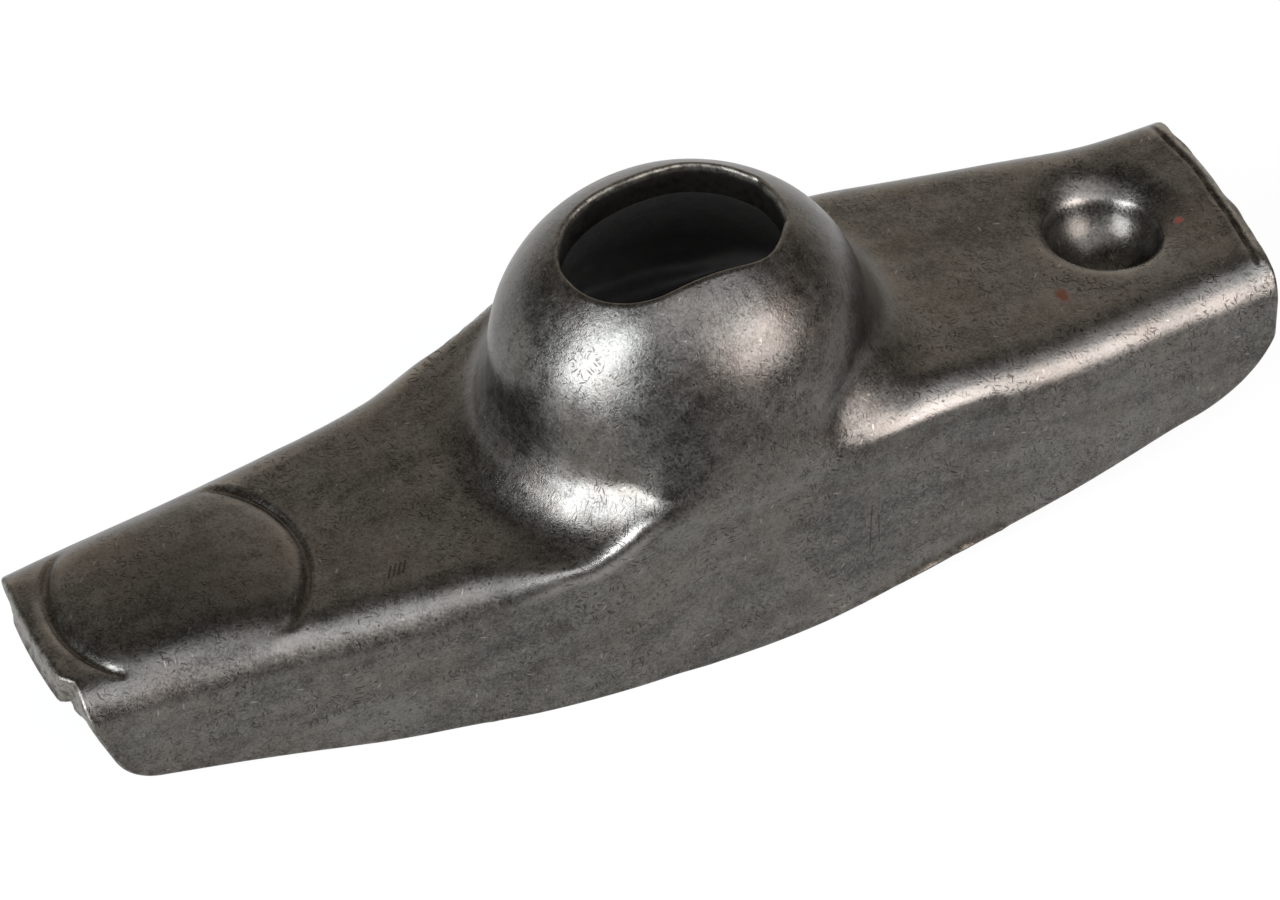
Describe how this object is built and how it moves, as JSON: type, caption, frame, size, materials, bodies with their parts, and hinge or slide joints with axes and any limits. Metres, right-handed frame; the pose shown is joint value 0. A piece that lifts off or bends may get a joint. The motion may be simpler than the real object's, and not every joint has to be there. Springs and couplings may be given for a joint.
{
  "type": "rocker arm",
  "caption": "Pressed-steel rocker arm: a channel with a slotted pivot dome in the middle, a ball cup at one end and a crowned valve pad at the other.",
  "frame": {"origin": "centre of the pivot dome's widest line, on the axis the arm rocks about", "axes": "+X along the arm to the pushrod end, +Y across it, +Z out of the dome along the stud, square to the rims it rests on"},
  "size_m": [0.0754, 0.0214, 0.0249],
  "materials": {
    "worn_steel": "dark used steel, satin, polished on the folds"
  },
  "bodies": {
    "root": {"rocker_body": "worn_steel"}
  },
  "joints": []
}
